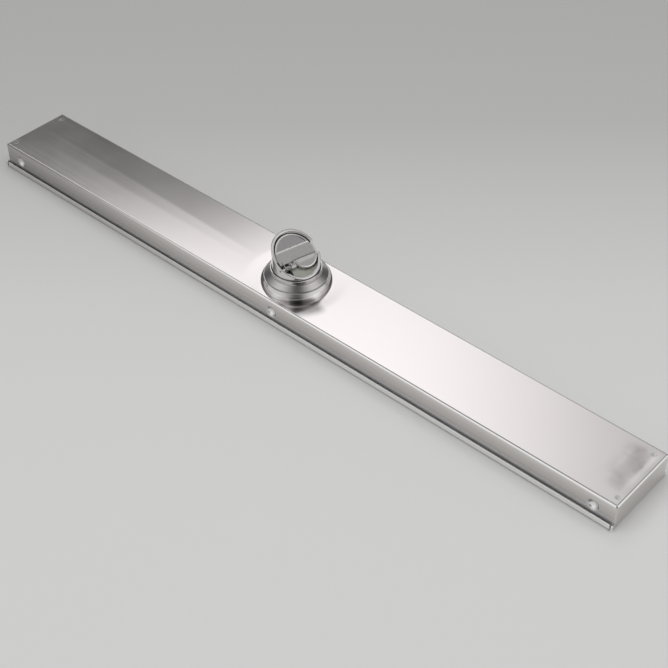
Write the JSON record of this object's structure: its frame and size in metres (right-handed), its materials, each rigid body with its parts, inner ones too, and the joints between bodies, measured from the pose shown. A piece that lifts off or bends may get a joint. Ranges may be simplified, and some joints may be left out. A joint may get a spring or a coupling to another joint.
{
  "type": "linear shower drain",
  "caption": "Long folded steel shower drain with a welded stepped outlet neck, a drop-in self-closing valve, a hair strainer and a tile-insert cover.",
  "frame": {"origin": "on the outlet's axis, in the plane of the tray's open rim, on which the drain lies with its outlet up; it is installed turned over, rim up and outlet down", "axes": "+X along the tray, +Z out of the outlet, +Y across the tray"},
  "size_m": [0.7, 0.0766, 0.0655],
  "materials": {
    "channel_body": "satin, brushed along the tray",
    "outlet_neck": "drawn and polished",
    "core_body": "plated, bright",
    "hinge_pin": "ground",
    "flap": "plated, satin",
    "flap_gasket": "matt, greenish grey",
    "torsion_spring": "drawn wire",
    "ring_seal": "matt black",
    "collar_seal": "matt black",
    "hair_strainer": "pressed and polished",
    "cover_tray": "satin, brushed along its length"
  },
  "bodies": {
    "drain": {"channel_body": "channel_body", "outlet_neck": "outlet_neck", "core_body": "core_body", "hinge_pin": "hinge_pin", "torsion_spring": "torsion_spring", "ring_seal": "ring_seal", "collar_seal": "collar_seal", "hair_strainer": "hair_strainer", "cover_tray": "cover_tray"},
    "valve_flap": {"flap": "flap", "flap_gasket": "flap_gasket"}
  },
  "joints": [
    {"name": "flap_hinge", "type": "hinge", "parent": "drain", "child": "valve_flap", "pos_m": [0.00666, -0.00179, 0.04759], "axis": [0.2588, 0.9659, 0], "range_deg": [0, 70], "stiffness_Nm_per_rad": 0.008, "springref_deg": -28.65, "deforming": ["torsion_spring"]}
  ]
}
